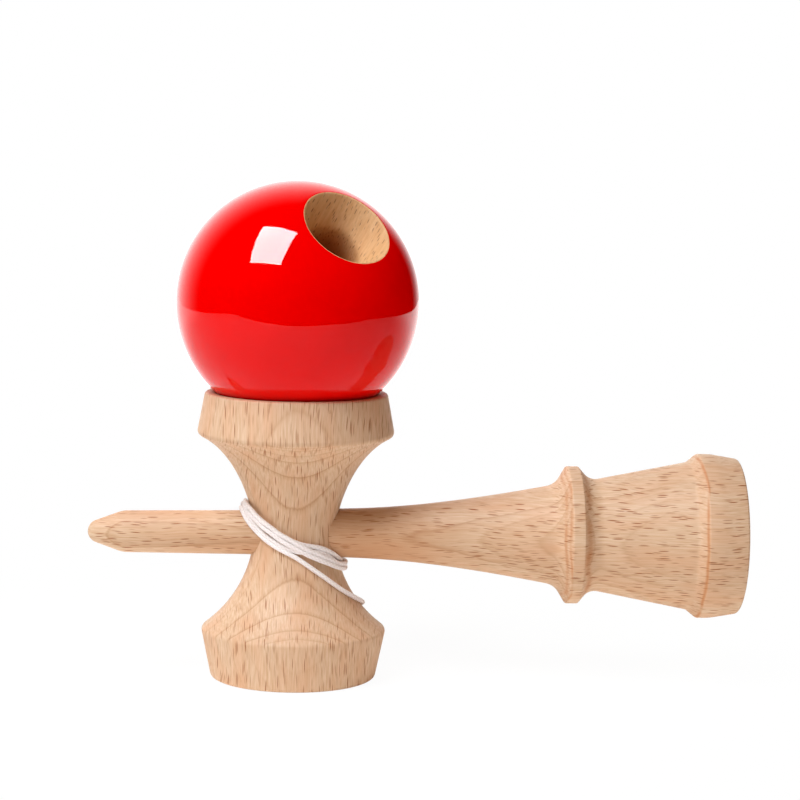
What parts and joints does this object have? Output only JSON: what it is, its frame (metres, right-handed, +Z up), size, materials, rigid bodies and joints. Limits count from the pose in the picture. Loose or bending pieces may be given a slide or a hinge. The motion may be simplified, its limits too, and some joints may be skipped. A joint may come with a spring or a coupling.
{
  "type": "cup and ball toy",
  "caption": "Turned wooden cup and ball toy: a handle with a spike and a base cup through a crosspiece with a cup at each end, and a lacquered ball on a string wound round the waist.",
  "frame": {"origin": "centre of the small cup's rim, on the surface that the toy stands on", "axes": "+Z up along the crosspiece, +X along the handle towards its base cup, and -Y towards the picture's camera"},
  "size_m": [0.1615, 0.0614, 0.1232],
  "materials": {
    "beech_handle": "bare turned and sanded beech",
    "beech_crosspiece": "bare turned and sanded beech",
    "red_lacquer": "high gloss red lacquer on wood, bare wood inside the holes",
    "bead_wood": "bare turned wood",
    "string": "white braided polyester cord"
  },
  "bodies": {
    "frame": {"handle": "beech_handle", "cup_crosspiece": "beech_crosspiece", "handle_knot": "string", "string_winding": "string"},
    "free_string": {"string_tail": "string"},
    "string_knot": {"string_end": "string", "bead": "bead_wood", "ball_knot": "string"},
    "ball": {"ball": "red_lacquer"}
  },
  "joints": [
    {"name": "ball_lift", "type": "slide", "parent": "frame", "child": "free_string", "axis": [0, 0, 1], "range_m": [0, 0.025], "deforming": ["string_tail"]},
    {"name": "ball_roll", "type": "hinge", "parent": "free_string", "child": "string_knot", "pos_m": [0, 0, 0.09324], "axis": [-0.8339, -0.5519, 0], "range_deg": [-30, 0]},
    {"name": "ball_swivel", "type": "hinge", "parent": "string_knot", "child": "ball", "pos_m": [0, 0, 0.09324], "axis": [0.397, -0.5998, 0.6947], "continuous": true}
  ]
}
